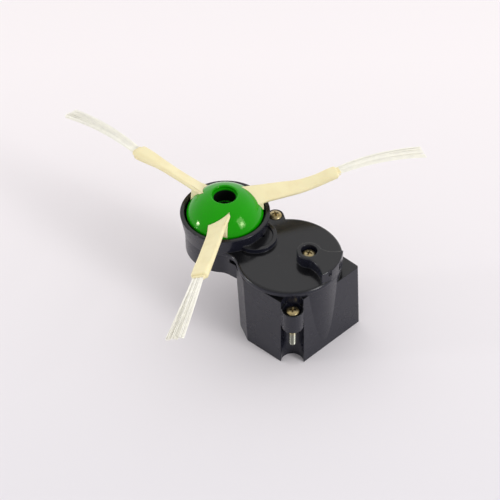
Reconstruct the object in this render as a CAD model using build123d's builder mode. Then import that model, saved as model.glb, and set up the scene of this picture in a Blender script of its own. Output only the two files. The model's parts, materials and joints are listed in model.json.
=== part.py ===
"""Side brush module of a robot vacuum cleaner, standing on its motor housing with the brush up.

Frame: the origin is on the motor axis in the base plane, +Z runs up through the brush, +X points from
the brush towards the closed end of the housing. Units are millimetres.
"""
import os
from math import acos, atan2, cos, degrees, hypot, pi, radians, sin, sqrt, tan

from build123d import *

# Moulded walls
WALL = 2.0
BASE_FLOOR = 2.0
EDGE_ROUND = 1.1
CORNER_ROUND = 1.0

# Motor tower: a round wall, and flats that lean towards the brush as they rise
TOWER_R = 18.4
TOWER_LEAN = 1.9
FRONT_FACE = 18.5
FRONT_END = 17.0
END_TURN = 5.2
BACK_FACE = 17.3
FACET_START = 5.9
FACET_STEP = 1.1
FACET_ANGLE = 227.2
CORNER_DROP = 1.5
SHOULDER_DROP = 5.0
LEDGE = 1.4
SLOT_REACH = 21.5
SLOT_ANGLE = 224.3
SLOT_TURN = -5.0
SLOT_W = 5.6
SLOT_H = 1.8
SLOT_DROP = 0.8
RIB_COUNT = 4
RIB_T = 1.6

# Cover
COVER_T = 1.8
DISC_R = 20.0
DISC_SHIFT = 0.9
LIP_T = 1.2
LIP_H = 1.3
OVERHANG = 0.3
NECK_STEP = 2.8
NECK_ROUND = 6.5
HUB_SIDE_GAP = 0.8
CUP_BASE_T = 0.4
CUP_RIM_T = 1.75
CUP_DEPTH = 6.4
RIM_ROUND = 0.35
AXLE_PAD_R = 8.2
AXLE_PAD_H = 1.8
AXLE_DISH_R = 6.6
AXLE_DISH_DEPTH = 0.5
DIMPLE_R = 0.7
DIMPLE_REACH = 2.8
DIMPLE_ANGLE = 36.0

# Screw pad on the cover
PAD_SCREW_X = 6.1
PAD_SCREW_Y = 2.9
PAD_RING_R = 4.6
PAD_H = 4.5
PAD_RECESS_R = 3.1
PAD_RECESS_DEPTH = 2.9
PAD_EDGE_GAP = 0.05
PAD_ROUND = 0.5
PAD_HOOK_INSET = 0.9
PAD_HOOK_ANGLE = -11.5
PAD_FRONT_ANGLE = 1.0
PAD_BACK_ANGLE = 35.0
PAD_NOTCH_R = 0.8
PAD_NOTCH_ANGLE = -1.0
PAD_NOTCH_DEPTH = 2.4
PAD_CLIP_R = 0.7
PAD_CLIP_ANGLE = 19.0
PAD_CLIP_H = 2.9

# Bends of the pad's outline beside its ends, in ring radii
PAD_TOP_BEND = (0.8, -0.12)
PAD_BACK_BEND = (-0.5, -0.6)
PAD_HOOK_BEND = (-0.5, 0.4)
PAD_BOTTOM_BEND = (1.0, 0.25)

# Screws
SCREW_HEAD_R = 2.6
SCREW_HEAD_H = 1.9
SCREW_R = 1.3
SCREW_NECK_R = 1.0
SCREW_HOLE_GAP = 0.2
SCREW_RECESS = 0.55
SCREW_CROSS_L = 1.15
SCREW_CROSS_W = 0.24
SCREW_CROWN_R = 0.74
SCREW_CROWN_Z = 0.8
REAR_SCREW_REACH = 22.8
REAR_SCREW_ANGLE = 145.5
REAR_EAR_R = 3.2
REAR_POCKET_R = 2.75
REAR_POCKET_DEPTH = 1.0
REAR_SCREW_LENGTH = 8.0
MOUNT_REACH = 21.3
MOUNT_ANGLE = -48.4
MOUNT_CHANNEL_R = 4.3
MOUNT_BOSS_R = 4.0
MOUNT_WALL = 0.6
MOUNT_SEAT_DROP = 6.6
MOUNT_SEAT_T = 6.6
MOUNT_POCKET_R = 3.5
MOUNT_POCKET_DEPTH = 2.0
MOUNT_SCREW_LENGTH = 17.3

# Motor
MOTOR_R = 12.2
MOTOR_LENGTH = 19.0
CAN_T = 0.8
END_CAP_T = 2.5
TERMINAL_ROOM = 3.0
NOSE_R = 4.0
NOSE_H = 1.4
SHAFT_R = 1.0
BUSH_R = 2.4
MAGNET_T = 1.8
MAGNET_SPAN = 120.0
AIR_GAP = 0.4
CORE_LENGTH = 10.0
CORE_HUB_R = 3.0
POLE_COUNT = 3
POLE_T = 2.4
POLE_SHOE_T = 1.4
POLE_SLOT = 2.0
COIL_SHARE = 0.8
COMMUTATOR_R = 2.6
TERMINAL_REACH = 7.0
TERMINAL_W = 2.0
TERMINAL_T = 0.4
CONTACT_W = 4.0
CONTACT_LENGTH = 7.0
CONTACT_RECESS = 0.2
MOTOR_SCREW_REACH = 8.0
MOTOR_SCREW_ANGLE = 105.0
MOTOR_SCREW_R = 0.9
MOTOR_SCREW_HEAD_R = 1.8
MOTOR_SCREW_HEAD_H = 1.0

# Gear deck and train
DECK_T = 2.0
DECK_FLAT = 13.8
POST_R = 2.5
LINE_ANGLE = 184.9
SECOND_REACH = 16.4
MODULE = 0.6
PRESSURE_ANGLE = 20.0
ADDENDUM = 1.0
DEDENDUM = 1.25
BACKLASH = 0.09
PINION_TEETH = 10
FIRST_TEETH = 22
FIRST_PINION_TEETH = 10
SECOND_TEETH = 27
SECOND_PINION_TEETH = 11
OUTPUT_TEETH = 36
TOOTH_SHIFT = 0.4
GEAR_FACE = 1.9
LEVEL_GAP = 0.4
AXLE_R = 1.0
AXLE_SOCKET = 1.2
GEAR_HUB_R = 2.1
JOURNAL_R = 2.5
JOURNAL_BOSS_R = 4.5
JOURNAL_BOSS_H = 2.4
OUTPUT_R = 4.0
OUTPUT_BUSH_R = 5.5
POST_SIDE = 5.6
POST_H = 4.7

# Brush hub
HUB_R = 14.5
DOME_R = 15.7
HUB_LIP_R = 5.4
HUB_HOLE_R = 4.8
HUB_LIP_DROP = 0.7
HUB_CROWN = 14.2
SLEEVE_T = 0.5
SLEEVE_DROP = 0.5
HUB_WALL = 1.8
HUB_BOSS_R = 6.2
HUB_WEB = 2.1
HUB_SCREW_LENGTH = 8.0

# Arms and tufts: each arm's rises at its knee, its end and its tuft's tip
ARM_RISES = ((0.7, 1.8, 2.5), (0.5, -0.1, 1.5), (3.1, 5.5, 10.5))
FIRST_ARM_ANGLE = 60.0
ARM_PITCH = 28.0
ARM_ROOT_R = 7.6
ARM_ROOT_W = 8.8
ARM_ROOT_DROP = 4.2
ARM_ROOT_FLARE = 0.9
ARM_ROOT_STOP = 0.4
ARM_NECK_R = 16.0
ARM_NECK_W = 7.3
ARM_KNEE_R = 34.0
ARM_END_R = 46.0
ARM_END_TAPER = 1.0
ARM_W = 7.1
ARM_T = 1.8
ARM_END_T = 2.4
ARM_END_INSET = 0.35
ARM_LIFT = 4.0
ARM_ROUND = 0.8
TUFT_TIP_R = 80.0
TUFT_SEAT = 3.0
STRAND_ROWS = 2
STRANDS_PER_ROW = 7
STRAND_R = 0.24
STRAND_PITCH = 0.66
ROW_PITCH = 0.52
STRAND_FAN = 1.6
STRAND_STAGGER = 2.4

# Cup and neck, set by the hub that turns in the cup
CUP_BORE_R = HUB_R + HUB_SIDE_GAP
CUP_BASE_R = CUP_BORE_R + CUP_BASE_T
CUP_RIM_R = CUP_BORE_R + CUP_RIM_T
NECK_HALF = CUP_BASE_R - NECK_STEP

# Clearances
RUNNING_GAP = 0.05
SEAT_GAP = 0.1
END_GAP = 0.3
ROOM_GAP = 0.5

# Heights, worked up from the base plane
MOTOR_BASE_Z = BASE_FLOOR + TERMINAL_ROOM
DECK_Z = MOTOR_BASE_Z + MOTOR_LENGTH
ROOM_Z = DECK_Z + DECK_T
LEVEL_1 = ROOM_Z + ROOM_GAP
LEVEL_2 = LEVEL_1 + GEAR_FACE + LEVEL_GAP
LEVEL_3 = LEVEL_2 + GEAR_FACE + LEVEL_GAP
COVER_Z = LEVEL_3 + GEAR_FACE + END_GAP
DISC_Z = COVER_Z + COVER_T
RIM_Z = DISC_Z + CUP_DEPTH
PAD_Z = DISC_Z + PAD_H
PAD_SEAT_Z = PAD_Z - PAD_RECESS_DEPTH
AXLE_PAD_Z = DISC_Z + AXLE_PAD_H
AXLE_TOP_Z = AXLE_PAD_Z - AXLE_DISH_DEPTH - COVER_T / 2
REAR_SEAT_Z = DISC_Z - REAR_POCKET_DEPTH
CORNER_Z = COVER_Z - CORNER_DROP
SHOULDER_Z = COVER_Z - SHOULDER_DROP
MOUNT_SEAT_Z = COVER_Z - MOUNT_SEAT_DROP
SHOULDER_OUT_Z = DISC_Z + ROOM_GAP
POST_TOP_Z = SHOULDER_OUT_Z + POST_H
HUB_WEB_Z = POST_TOP_Z + END_GAP
HUB_SEAT_Z = HUB_WEB_Z + HUB_WEB
HUB_TOP_Z = SHOULDER_OUT_Z + HUB_CROWN
HUB_SKIRT_Z = SHOULDER_OUT_Z + SEAT_GAP
ARM_Z = RIM_Z + ARM_LIFT

SEATED = (Align.CENTER, Align.CENTER, Align.MIN)


def polar(reach, angle, start=(0.0, 0.0)):
    """A plan point at a distance and an angle in degrees from a start point."""
    return start[0] + reach * cos(radians(angle)), start[1] + reach * sin(radians(angle))


def heading(start, end):
    """The angle in degrees of the plan line from one point to another."""
    return degrees(atan2(end[1] - start[1], end[0] - start[0]))


def mesh_distance(teeth_a, teeth_b):
    """The centre distance of two gears with equal and opposite tooth shifts."""
    return MODULE * (teeth_a + teeth_b) / 2


# Axes in plan
MOTOR_AXIS = (0.0, 0.0)
SECOND_AXIS = polar(SECOND_REACH, LINE_ANGLE)
BRUSH_AXIS = polar(mesh_distance(SECOND_PINION_TEETH, OUTPUT_TEETH), LINE_ANGLE, SECOND_AXIS)
FIRST_MESH = mesh_distance(PINION_TEETH, FIRST_TEETH)
SECOND_MESH = mesh_distance(FIRST_PINION_TEETH, SECOND_TEETH)
FIRST_ALONG = (FIRST_MESH**2 - SECOND_MESH**2 + SECOND_REACH**2) / (2 * SECOND_REACH)
FIRST_SWING = degrees(acos(FIRST_ALONG / FIRST_MESH))
FIRST_AXIS = polar(FIRST_MESH, LINE_ANGLE + FIRST_SWING)
PAD_SCREW = (PAD_SCREW_X, PAD_SCREW_Y)
REAR_SCREW = polar(REAR_SCREW_REACH, REAR_SCREW_ANGLE)
MOUNT_SCREW = polar(MOUNT_REACH, MOUNT_ANGLE)
MOTOR_SCREWS = [polar(MOTOR_SCREW_REACH, MOTOR_SCREW_ANGLE + turn) for turn in (0, 180)]
ARM_ANGLES = [FIRST_ARM_ANGLE + arm * 360 / len(ARM_RISES) for arm in range(len(ARM_RISES))]


def level(axis, z):
    """The horizontal plane at a height, with its origin on a plan axis."""
    return Plane(origin=(axis[0], axis[1], z))


def bar(axis, bottom, top, radius, mode=Mode.ADD):
    """An upright round bar on a plan axis, added to or cut from the open part."""
    with Locations((axis[0], axis[1], bottom)):
        Cylinder(radius, top - bottom, align=SEATED, mode=mode)


def rear_ear(bottom, top, radius):
    """The rear screw's ear: an upright bar joined to the disc by a neck of the same width."""
    bar(REAR_SCREW, bottom, top, radius)
    neck_start = DISC_R - WALL
    with Locations(Location((*polar(neck_start, REAR_SCREW_ANGLE), bottom), (0, 0, REAR_SCREW_ANGLE))):
        Box(
            REAR_SCREW_REACH - neck_start,
            2 * radius,
            top - bottom,
            align=(Align.MIN, Align.CENTER, Align.MIN),
        )


def pad_bend(end, shares):
    """A point of the pad's outline beside one of its ends, offset by shares of the ring radius."""
    return end[0] + shares[0] * PAD_RING_R, end[1] + shares[1] * PAD_RING_R


def section_plane(axis):
    """The upright plane through a plan axis, in which a turned profile is drawn as radius and height."""
    return Plane(origin=(axis[0], axis[1], 0), x_dir=(1, 0, 0), z_dir=(0, -1, 0))


def upright(axis):
    """The vertical axis of revolution over a plan axis."""
    return Axis((axis[0], axis[1], 0), (0, 0, 1))


def flats(top, *corners):
    """A block with flat sides from the base to a height, leaning as it rises, added to the open part."""
    sections = []
    for z in (0, top):
        with BuildSketch(Plane(origin=(-TOWER_LEAN * z / COVER_Z, 0, z))) as section:
            with BuildLine():
                Polyline((0, 0), *corners, close=True)
            make_face()
            outer = section.vertices().filter_by(lambda v: hypot(v.X, v.Y) > TOWER_R + CORNER_ROUND / 2)
            fillet(outer, CORNER_ROUND)
        sections.append(section.sketch)
    loft(sections, ruled=True)


def case_outline(z, inset, disc_r=TOWER_R + OVERHANG, disc_shift=0.0):
    """The plan outline of disc, neck and cup, drawn in by an inset. An inner one goes round the mount."""
    length = SECOND_REACH + mesh_distance(SECOND_PINION_TEETH, OUTPUT_TEETH)
    with BuildSketch(Plane((0, 0, z)).rotated((0, 0, LINE_ANGLE))) as outline:
        with Locations((disc_shift, 0)):
            Circle(disc_r - inset)
        with Locations((length, 0)):
            Circle(CUP_BASE_R - inset)
        with Locations((length / 2, 0)):
            Rectangle(length, 2 * (NECK_HALF - inset))
        fillet(outline.vertices().filter_by(lambda v: abs(v.Y) > SCREW_R), NECK_ROUND)
        if inset >= WALL:
            with Locations(polar(MOUNT_REACH, MOUNT_ANGLE - LINE_ANGLE)):
                Circle(MOUNT_CHANNEL_R + MOUNT_WALL + inset - WALL, mode=Mode.SUBTRACT)
    return outline.sketch


def deck_outline(z, radius, flat):
    """A disc about the motor axis with a flat towards the brush."""
    with BuildSketch(Plane((0, 0, z)).rotated((0, 0, LINE_ANGLE))) as outline:
        Circle(radius)
        with Locations((flat, 0)):
            Rectangle(radius, 2 * radius, align=(Align.MIN, Align.CENTER), mode=Mode.SUBTRACT)
    return outline.sketch


def gear_outline(axis, z, teeth, shift, phase):
    """A spur gear's outline with involute flanks as arcs, one tooth centred at the phase angle."""
    pressure = radians(PRESSURE_ANGLE)
    pitch_r = MODULE * teeth / 2
    base_r = pitch_r * cos(pressure)
    tip_r = pitch_r + MODULE * (ADDENDUM + shift)
    root_r = pitch_r - MODULE * (DEDENDUM - shift)
    half_pitch = (MODULE * (pi / 2 + 2 * shift * tan(pressure)) - BACKLASH) / (2 * pitch_r)

    def half_angle(radius):
        slope = acos(min(1.0, base_r / radius))
        return half_pitch + (tan(pressure) - pressure) - (tan(slope) - slope)

    middle_r = (max(root_r, base_r) + tip_r) / 2
    stations = [(radius, half_angle(radius)) for radius in (root_r, middle_r, tip_r)]
    with BuildSketch(level(axis, z)) as outline:
        with BuildLine():
            for tooth in range(teeth):
                centre = radians(phase) + tooth * 2 * pi / teeth
                rise = [polar(r, degrees(centre - half)) for r, half in stations]
                fall = [polar(r, degrees(centre + half)) for r, half in reversed(stations)]
                next_root = polar(root_r, degrees(centre + 2 * pi / teeth - stations[0][1]))
                ThreePointArc(*rise)
                Line(rise[-1], fall[0])
                ThreePointArc(*fall)
                Line(fall[-1], next_root)
        make_face()
    return outline.sketch


def pan_screw(axis, seat, length, neck=0.0):
    """A pan head screw with a cross recess on a seat height, with a thin captive neck of a given length."""
    head_top = seat + SCREW_HEAD_H
    recess = SCREW_RECESS * SCREW_HEAD_H
    cross_l = SCREW_CROSS_L * SCREW_HEAD_R
    cross_w = SCREW_CROSS_W * SCREW_HEAD_R
    stem = [(SCREW_R, seat)]
    if neck:
        neck_z = seat - neck
        stem = [(SCREW_R, neck_z - SCREW_R + SCREW_NECK_R), (SCREW_NECK_R, neck_z), (SCREW_NECK_R, seat)]
    with BuildPart() as screw:
        with BuildSketch(section_plane(axis)):
            with BuildLine():
                Polyline(
                    (0, seat - length),
                    (SCREW_R, seat - length + SCREW_R),
                    *stem,
                    (SCREW_HEAD_R, seat),
                    (SCREW_HEAD_R, seat + SCREW_HEAD_H / 3),
                )
                ThreePointArc(
                    (SCREW_HEAD_R, seat + SCREW_HEAD_H / 3),
                    (SCREW_CROWN_R * SCREW_HEAD_R, seat + SCREW_CROWN_Z * SCREW_HEAD_H),
                    (0, head_top),
                )
                Line((0, head_top), (0, seat - length))
            make_face()
        revolve(axis=upright(axis))
        with Locations((axis[0], axis[1], head_top - recess)):
            Box(cross_l, cross_w, 2 * recess, align=SEATED, mode=Mode.SUBTRACT)
            Box(cross_w, cross_l, 2 * recess, align=SEATED, mode=Mode.SUBTRACT)
    return screw.part


def finish(part, label):
    """Name a finished piece and write its STEP file."""
    part.label = label
    export_step(part, f"parts/{label}.step")


os.makedirs("parts", exist_ok=True)

# Motor housing: drafted tower, gear neck, half cup, mounting corner and rear pillar
well_r = TOWER_R - WALL - LEDGE
deck_pocket_r = TOWER_R - WALL
with BuildPart() as motor_housing:
    bar(MOTOR_AXIS, 0, COVER_Z, TOWER_R)
    facet_reach = TOWER_R + FACET_STEP
    facet_turn = degrees(acos(TOWER_R / facet_reach))
    end_slope = tan(radians(END_TURN))
    end_middle = FRONT_END + FRONT_FACE * end_slope
    flats(
        CORNER_Z,
        polar(TOWER_R, FACET_ANGLE - facet_turn),
        polar(facet_reach, FACET_ANGLE),
        (-FACET_START, -FRONT_FACE),
        (FRONT_END, -FRONT_FACE),
        (end_middle, 0),
    )
    flats(SHOULDER_Z, (end_middle, 0), (end_middle + BACK_FACE * end_slope, BACK_FACE), (0, TOWER_R))
    mount_bottom = MOUNT_SEAT_Z - MOUNT_SEAT_T
    mount_top = MOUNT_SEAT_Z + MOUNT_POCKET_DEPTH
    bar(MOUNT_SCREW, 0, mount_bottom, MOUNT_CHANNEL_R, Mode.SUBTRACT)
    bar(MOUNT_SCREW, mount_top, CORNER_Z, MOUNT_CHANNEL_R, Mode.SUBTRACT)
    bar(MOUNT_SCREW, mount_bottom, mount_top, MOUNT_BOSS_R)
    extrude(case_outline(DECK_Z, OVERHANG), amount=COVER_Z - DECK_Z)
    rear_ear(DECK_Z, COVER_Z, REAR_EAR_R - OVERHANG)
    extrude(case_outline(ROOM_Z, WALL), amount=COVER_Z - ROOM_Z, mode=Mode.SUBTRACT)
    extrude(deck_outline(DECK_Z, deck_pocket_r, DECK_FLAT), amount=DECK_T, mode=Mode.SUBTRACT)
    well_depth = DECK_Z - BASE_FLOOR
    extrude(deck_outline(BASE_FLOOR, well_r, DECK_FLAT - LEDGE), amount=well_depth, mode=Mode.SUBTRACT)
    with PolarLocations(MOTOR_R + SEAT_GAP, RIB_COUNT, start_angle=360 / RIB_COUNT / 2):
        with Locations((0, 0, BASE_FLOOR)):
            Box(
                well_r - MOTOR_R,
                RIB_T,
                TERMINAL_ROOM + MOTOR_LENGTH / 2,
                align=(Align.MIN, Align.CENTER, Align.MIN),
            )
    bar(BRUSH_AXIS, ROOM_Z, ROOM_Z + JOURNAL_BOSS_H, JOURNAL_BOSS_R)
    bar(BRUSH_AXIS, ROOM_Z - AXLE_SOCKET, ROOM_Z + JOURNAL_BOSS_H, JOURNAL_R + RUNNING_GAP, Mode.SUBTRACT)
    bar(SECOND_AXIS, ROOM_Z - AXLE_SOCKET, ROOM_Z, AXLE_R, Mode.SUBTRACT)
    bar(MOUNT_SCREW, MOUNT_SEAT_Z, mount_top, MOUNT_POCKET_R, Mode.SUBTRACT)
    bar(MOUNT_SCREW, mount_bottom, MOUNT_SEAT_Z, SCREW_NECK_R + SCREW_HOLE_GAP, Mode.SUBTRACT)
    bar(REAR_SCREW, REAR_SEAT_Z - REAR_SCREW_LENGTH, COVER_Z, SCREW_R, Mode.SUBTRACT)
    slot_z = COVER_Z - SLOT_DROP - SLOT_H
    with Locations(Location((*polar(SLOT_REACH, SLOT_ANGLE), slot_z), (0, 0, SLOT_TURN))):
        Box(SLOT_W, 2 * WALL, SLOT_H, align=SEATED, mode=Mode.SUBTRACT)
    for side in (-1, 1):
        with Locations((0, side * (TERMINAL_REACH + TERMINAL_T / 2), 0)):
            Box(
                CONTACT_W + 2 * SEAT_GAP,
                CONTACT_LENGTH + 2 * SEAT_GAP,
                CONTACT_RECESS + TERMINAL_T,
                align=SEATED,
                mode=Mode.SUBTRACT,
            )
        with Locations((0, side * (TERMINAL_REACH + TERMINAL_T), 0)):
            Box(
                TERMINAL_W + 2 * SEAT_GAP,
                TERMINAL_T + 2 * SEAT_GAP,
                BASE_FLOOR,
                align=SEATED,
                mode=Mode.SUBTRACT,
            )
finish(motor_housing.part, "motor_housing")

# Gear cover: plate, cup ring, axle pad, screw pad, rear ear and locating lip
pad_top = (PAD_SCREW[0], PAD_SCREW[1] + PAD_RING_R)
pad_bottom = (PAD_SCREW[0], PAD_SCREW[1] - PAD_RING_R)
pad_edge_r = DISC_R - PAD_EDGE_GAP
disc_axis = polar(DISC_SHIFT, LINE_ANGLE)
pad_back_tip = polar(pad_edge_r, PAD_BACK_ANGLE, disc_axis)
pad_front_tip = polar(pad_edge_r, PAD_FRONT_ANGLE, disc_axis)
pad_hook_tip = polar(pad_edge_r - PAD_HOOK_INSET, PAD_HOOK_ANGLE, disc_axis)
pad_notch = polar(pad_edge_r, PAD_NOTCH_ANGLE, disc_axis)
pad_clip = polar(pad_edge_r, PAD_CLIP_ANGLE, disc_axis)
dimple = polar(DIMPLE_REACH, DIMPLE_ANGLE, SECOND_AXIS)
with BuildPart() as gear_cover:
    extrude(case_outline(COVER_Z, 0, DISC_R, DISC_SHIFT), amount=COVER_T)
    fillet(gear_cover.faces().sort_by(Axis.Z)[-1].edges(), EDGE_ROUND)
    rear_ear(COVER_Z, DISC_Z, REAR_EAR_R)
    bar(SECOND_AXIS, DISC_Z, AXLE_PAD_Z, AXLE_PAD_R)
    bar(SECOND_AXIS, AXLE_PAD_Z - AXLE_DISH_DEPTH, AXLE_PAD_Z, AXLE_DISH_R, Mode.SUBTRACT)
    bar(dimple, DISC_Z, AXLE_PAD_Z, DIMPLE_R, Mode.SUBTRACT)
    with BuildSketch(level(MOTOR_AXIS, COVER_Z)):
        with BuildLine():
            Spline(
                pad_top,
                pad_bend(pad_top, PAD_TOP_BEND),
                pad_bend(pad_back_tip, PAD_BACK_BEND),
                pad_back_tip,
            )
            ThreePointArc(
                pad_back_tip,
                polar(pad_edge_r, (PAD_FRONT_ANGLE + PAD_BACK_ANGLE) / 2, disc_axis),
                pad_front_tip,
            )
            Line(pad_front_tip, pad_hook_tip)
            Spline(
                pad_hook_tip,
                pad_bend(pad_hook_tip, PAD_HOOK_BEND),
                pad_bend(pad_bottom, PAD_BOTTOM_BEND),
                pad_bottom,
            )
            Line(pad_bottom, pad_top)
        make_face()
        with Locations(PAD_SCREW):
            Circle(PAD_RING_R)
    extrude(amount=COVER_T + PAD_H)
    fillet(gear_cover.faces().sort_by(Axis.Z)[-1].edges(), PAD_ROUND)
    bar(pad_notch, PAD_Z - PAD_NOTCH_DEPTH, PAD_Z, PAD_NOTCH_R, Mode.SUBTRACT)
    bar(pad_clip, DISC_Z, DISC_Z + PAD_CLIP_H, PAD_CLIP_R, Mode.SUBTRACT)
    bar(BRUSH_AXIS, DISC_Z, RIM_Z, CUP_BORE_R, Mode.SUBTRACT)
    with BuildSketch(section_plane(BRUSH_AXIS)):
        with BuildLine():
            Polyline(
                (CUP_BORE_R, COVER_Z + COVER_T / 2),
                (CUP_BASE_R, COVER_Z),
                (CUP_RIM_R, RIM_Z),
                (CUP_BORE_R, RIM_Z),
                close=True,
            )
        make_face()
    revolve(axis=upright(BRUSH_AXIS))
    fillet(gear_cover.faces().sort_by(Axis.Z)[-1].edges(), RIM_ROUND)
    extrude(case_outline(COVER_Z - LIP_H, WALL + SEAT_GAP), amount=LIP_H)
    extrude(case_outline(COVER_Z - LIP_H, WALL + SEAT_GAP + LIP_T), amount=LIP_H, mode=Mode.SUBTRACT)
    bar(BRUSH_AXIS, COVER_Z, DISC_Z, OUTPUT_BUSH_R, Mode.SUBTRACT)
    bar(PAD_SCREW, PAD_SEAT_Z, PAD_Z, PAD_RECESS_R, Mode.SUBTRACT)
    bar(PAD_SCREW, COVER_Z, PAD_SEAT_Z, SCREW_R + SCREW_HOLE_GAP, Mode.SUBTRACT)
    bar(REAR_SCREW, REAR_SEAT_Z, DISC_Z, REAR_POCKET_R, Mode.SUBTRACT)
    bar(REAR_SCREW, COVER_Z, REAR_SEAT_Z, SCREW_R + SCREW_HOLE_GAP, Mode.SUBTRACT)
    bar(FIRST_AXIS, COVER_Z, COVER_Z + AXLE_SOCKET, AXLE_R, Mode.SUBTRACT)
    bar(SECOND_AXIS, COVER_Z, AXLE_TOP_Z, AXLE_R, Mode.SUBTRACT)
finish(gear_cover.part, "gear_cover")

# Gear deck: carries the motor below and the screw post and first axle above
with BuildPart() as gear_deck:
    extrude(deck_outline(DECK_Z, deck_pocket_r - SEAT_GAP, DECK_FLAT - SEAT_GAP), amount=DECK_T)
    bar(PAD_SCREW, ROOM_Z, COVER_Z, POST_R)
    bar(MOTOR_AXIS, DECK_Z, ROOM_Z, NOSE_R + SEAT_GAP, Mode.SUBTRACT)
    bar(PAD_SCREW, ROOM_Z, COVER_Z, SCREW_R, Mode.SUBTRACT)
    bar(FIRST_AXIS, ROOM_Z - AXLE_SOCKET, ROOM_Z, AXLE_R, Mode.SUBTRACT)
    for axis in MOTOR_SCREWS:
        bar(axis, DECK_Z, ROOM_Z, MOTOR_SCREW_R + SEAT_GAP, Mode.SUBTRACT)
        bar(axis, ROOM_Z - MOTOR_SCREW_HEAD_H, ROOM_Z, MOTOR_SCREW_HEAD_R + SEAT_GAP, Mode.SUBTRACT)
finish(gear_deck.part, "gear_deck")

# Motor: can, end cap, magnets, armature, windings, commutator, shaft, bushes and terminals
can_bottom = MOTOR_BASE_Z + END_CAP_T
can_bore_r = MOTOR_R - CAN_T
nose_top = DECK_Z + NOSE_H
with BuildPart() as motor_can:
    bar(MOTOR_AXIS, can_bottom, DECK_Z, MOTOR_R)
    bar(MOTOR_AXIS, DECK_Z, nose_top, NOSE_R)
    bar(MOTOR_AXIS, can_bottom, DECK_Z - CAN_T, can_bore_r, Mode.SUBTRACT)
    bar(MOTOR_AXIS, DECK_Z - CAN_T, nose_top, BUSH_R, Mode.SUBTRACT)
    for axis in MOTOR_SCREWS:
        bar(axis, DECK_Z - CAN_T, DECK_Z, MOTOR_SCREW_R, Mode.SUBTRACT)
finish(motor_can.part, "motor_can")

with BuildPart() as motor_end_cap:
    bar(MOTOR_AXIS, MOTOR_BASE_Z, can_bottom, MOTOR_R)
    bar(MOTOR_AXIS, MOTOR_BASE_Z, can_bottom, BUSH_R, Mode.SUBTRACT)
    for side in (-1, 1):
        with Locations((0, side * TERMINAL_REACH, MOTOR_BASE_Z)):
            Box(TERMINAL_W, TERMINAL_T, END_CAP_T, align=SEATED, mode=Mode.SUBTRACT)
finish(motor_end_cap.part, "motor_end_cap")

core_bottom = (can_bottom + DECK_Z - CAN_T - CORE_LENGTH) / 2
core_top = core_bottom + CORE_LENGTH
magnet_bore_r = can_bore_r - MAGNET_T
core_r = magnet_bore_r - AIR_GAP
with BuildPart() as motor_magnets:
    with BuildSketch(level(MOTOR_AXIS, core_bottom)):
        Circle(can_bore_r)
        Circle(magnet_bore_r, mode=Mode.SUBTRACT)
        gap_angle = 180 - MAGNET_SPAN
        for turn in (90, 270):
            with BuildLine():
                Polyline(
                    MOTOR_AXIS,
                    polar(2 * MOTOR_R, turn - gap_angle / 2),
                    polar(2 * MOTOR_R, turn + gap_angle / 2),
                    close=True,
                )
            make_face(mode=Mode.SUBTRACT)
    extrude(amount=CORE_LENGTH)
finish(motor_magnets.part, "motor_magnets")

with BuildPart() as motor_armature:
    with BuildSketch(level(MOTOR_AXIS, core_bottom)):
        Circle(core_r)
        Circle(core_r - POLE_SHOE_T, mode=Mode.SUBTRACT)
        with PolarLocations(core_r, POLE_COUNT, start_angle=180 / POLE_COUNT):
            Rectangle(2 * POLE_SHOE_T + POLE_SLOT, POLE_SLOT, mode=Mode.SUBTRACT)
        Circle(CORE_HUB_R)
        with PolarLocations(0, POLE_COUNT):
            Rectangle(core_r - POLE_SHOE_T / 2, POLE_T, align=(Align.MIN, Align.CENTER))
        Circle(SHAFT_R, mode=Mode.SUBTRACT)
    extrude(amount=CORE_LENGTH)
finish(motor_armature.part, "motor_armature")

coil_reach = core_r - POLE_SHOE_T - CORE_HUB_R
coil_length = COIL_SHARE * coil_reach
with BuildPart() as motor_windings:
    with PolarLocations(CORE_HUB_R + coil_reach / 2, POLE_COUNT):
        with Locations((0, 0, core_bottom)):
            Box(coil_length, 2 * POLE_T, CORE_LENGTH, align=SEATED)
            Box(coil_length, POLE_T, CORE_LENGTH, align=SEATED, mode=Mode.SUBTRACT)
finish(motor_windings.part, "motor_windings")

with BuildPart() as motor_commutator:
    bar(MOTOR_AXIS, can_bottom + ROOM_GAP, core_bottom, COMMUTATOR_R)
    bar(MOTOR_AXIS, can_bottom + ROOM_GAP, core_bottom, SHAFT_R, Mode.SUBTRACT)
finish(motor_commutator.part, "motor_commutator")

with BuildPart() as motor_shaft:
    bar(MOTOR_AXIS, MOTOR_BASE_Z + SEAT_GAP, LEVEL_1 + GEAR_FACE + ROOM_GAP, SHAFT_R)
finish(motor_shaft.part, "motor_shaft")

for name, bottom, top in (
    ("motor_bush_front", DECK_Z - CAN_T, nose_top),
    ("motor_bush_rear", MOTOR_BASE_Z, can_bottom),
):
    with BuildPart() as bush:
        bar(MOTOR_AXIS, bottom, top, BUSH_R)
        bar(MOTOR_AXIS, bottom, top, SHAFT_R + RUNNING_GAP, Mode.SUBTRACT)
    finish(bush.part, name)

with BuildPart() as motor_terminals:
    for side in (-1, 1):
        with Locations((0, side * TERMINAL_REACH, BASE_FLOOR + ROOM_GAP)):
            Box(TERMINAL_W, TERMINAL_T, can_bottom - BASE_FLOOR - ROOM_GAP, align=SEATED)
finish(motor_terminals.part, "motor_terminals")

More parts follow.
